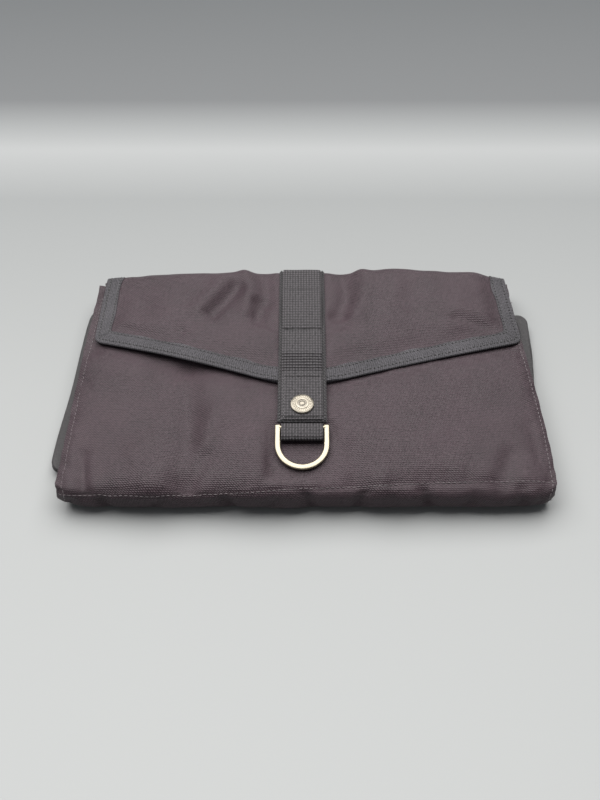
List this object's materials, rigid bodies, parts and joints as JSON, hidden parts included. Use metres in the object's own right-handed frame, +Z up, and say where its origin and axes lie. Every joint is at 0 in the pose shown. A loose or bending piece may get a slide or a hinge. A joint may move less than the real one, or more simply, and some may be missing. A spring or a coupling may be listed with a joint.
{
  "type": "film changing bag",
  "caption": "Light-tight film changing bag, folded into its own padded wrap under a pointed flap with bound edges, a webbing strap, a snap and a swinging D-ring.",
  "frame": {"origin": "bottom centre of the folded bag's box, on the surface it lies on", "axes": "+X across the bag along the flap's fold, +Y from the front spine towards the flap's fold, +Z up out of the flap's top face"},
  "size_m": [0.3068, 0.1814, 0.0342],
  "materials": {
    "twill": "nylon twill, purplish grey, a fine diagonal rib and a satin sheen",
    "wadding": "black felted wadding",
    "lining": "black coated taffeta",
    "bag_cloth": "black light-tight nylon, folded flat",
    "inner_cloth": "black rubber-backed nylon, folded flat",
    "sleeve_cloth": "black-grey nylon, folded flat",
    "elastic": "black ribbed elastic",
    "binding_tape": "grey grosgrain tape",
    "base_webbing": "grey flat-woven webbing",
    "loop_webbing": "grey ribbed webbing",
    "thread": "grey polyester thread, sewn to and fro",
    "zip_tape": "black woven zip tape",
    "zip_coil": "black nylon coil",
    "zip_metal": "black enamelled zinc",
    "snap_metal": "antique nickel, darker in the rings",
    "ring_metal": "pale nickel plate, smooth"
  },
  "bodies": {
    "wrap": {"wrap_shell": "twill", "wrap_padding": "wadding", "wrap_lining": "lining", "snap_stud": "snap_metal", "snap_post": "snap_metal", "outer_bag": "bag_cloth", "inner_bag": "inner_cloth", "facing_front": "bag_cloth", "facing_rear": "bag_cloth", "strap_tail": "base_webbing", "outer_zip_tape_front": "zip_tape", "outer_zip_tape_rear": "zip_tape", "outer_zip_coil_front": "zip_coil", "outer_zip_coil_rear": "zip_coil", "inner_zip_tape_front": "zip_tape", "inner_zip_tape_rear": "zip_tape", "inner_zip_coil_front": "zip_coil", "inner_zip_coil_rear": "zip_coil", "outer_zip_stops": "zip_metal", "inner_zip_stops": "zip_metal"},
    "flap": {"flap_shell": "twill", "flap_padding": "wadding", "flap_lining": "lining", "flap_binding": "binding_tape", "strap_base": "base_webbing", "strap_webbing": "loop_webbing", "bar_tacks": "thread", "snap_cap": "snap_metal", "snap_socket": "snap_metal", "ring_keeper": "loop_webbing"},
    "ring": {"d_ring": "ring_metal"},
    "outer_slider": {"outer_zip_slider": "zip_metal"},
    "outer_pull": {"outer_zip_pull": "zip_metal"},
    "inner_slider": {"inner_zip_slider": "zip_metal"},
    "inner_pull": {"inner_zip_pull": "zip_metal"},
    "left_arm": {"left_sleeve": "sleeve_cloth", "left_cuff": "elastic"},
    "right_arm": {"right_sleeve": "sleeve_cloth", "right_cuff": "elastic"}
  },
  "joints": [
    {"name": "flap_open", "type": "hinge", "parent": "wrap", "child": "flap", "pos_m": [0, 0.09, 0.0178], "axis": [-1, 0, 0], "range_deg": [0, 180]},
    {"name": "ring_swing", "type": "hinge", "parent": "flap", "child": "ring", "pos_m": [-0.003, -0.0476, 0.0282], "axis": [-1, 0, 0], "range_deg": [0, 120]},
    {"name": "outer_zip_run", "type": "slide", "parent": "wrap", "child": "outer_slider", "axis": [1, 0, 0], "range_m": [0, 0.218]},
    {"name": "outer_pull_lift", "type": "hinge", "parent": "outer_slider", "child": "outer_pull", "pos_m": [-0.112, 0.0758, 0.0181], "axis": [0, -1, 0], "range_deg": [0, 8]},
    {"name": "inner_zip_run", "type": "slide", "parent": "wrap", "child": "inner_slider", "axis": [1, 0, 0], "range_m": [0, 0.218]},
    {"name": "inner_pull_lift", "type": "hinge", "parent": "inner_slider", "child": "inner_pull", "pos_m": [-0.112, 0.0758, 0.0095], "axis": [0, -1, 0], "range_deg": [0, 5]},
    {"name": "left_arm_out", "type": "slide", "parent": "wrap", "child": "left_arm", "axis": [-1, 0, 0], "range_m": [0, 0.11]},
    {"name": "right_arm_out", "type": "slide", "parent": "wrap", "child": "right_arm", "axis": [1, 0, 0], "range_m": [0, 0.11]}
  ]
}
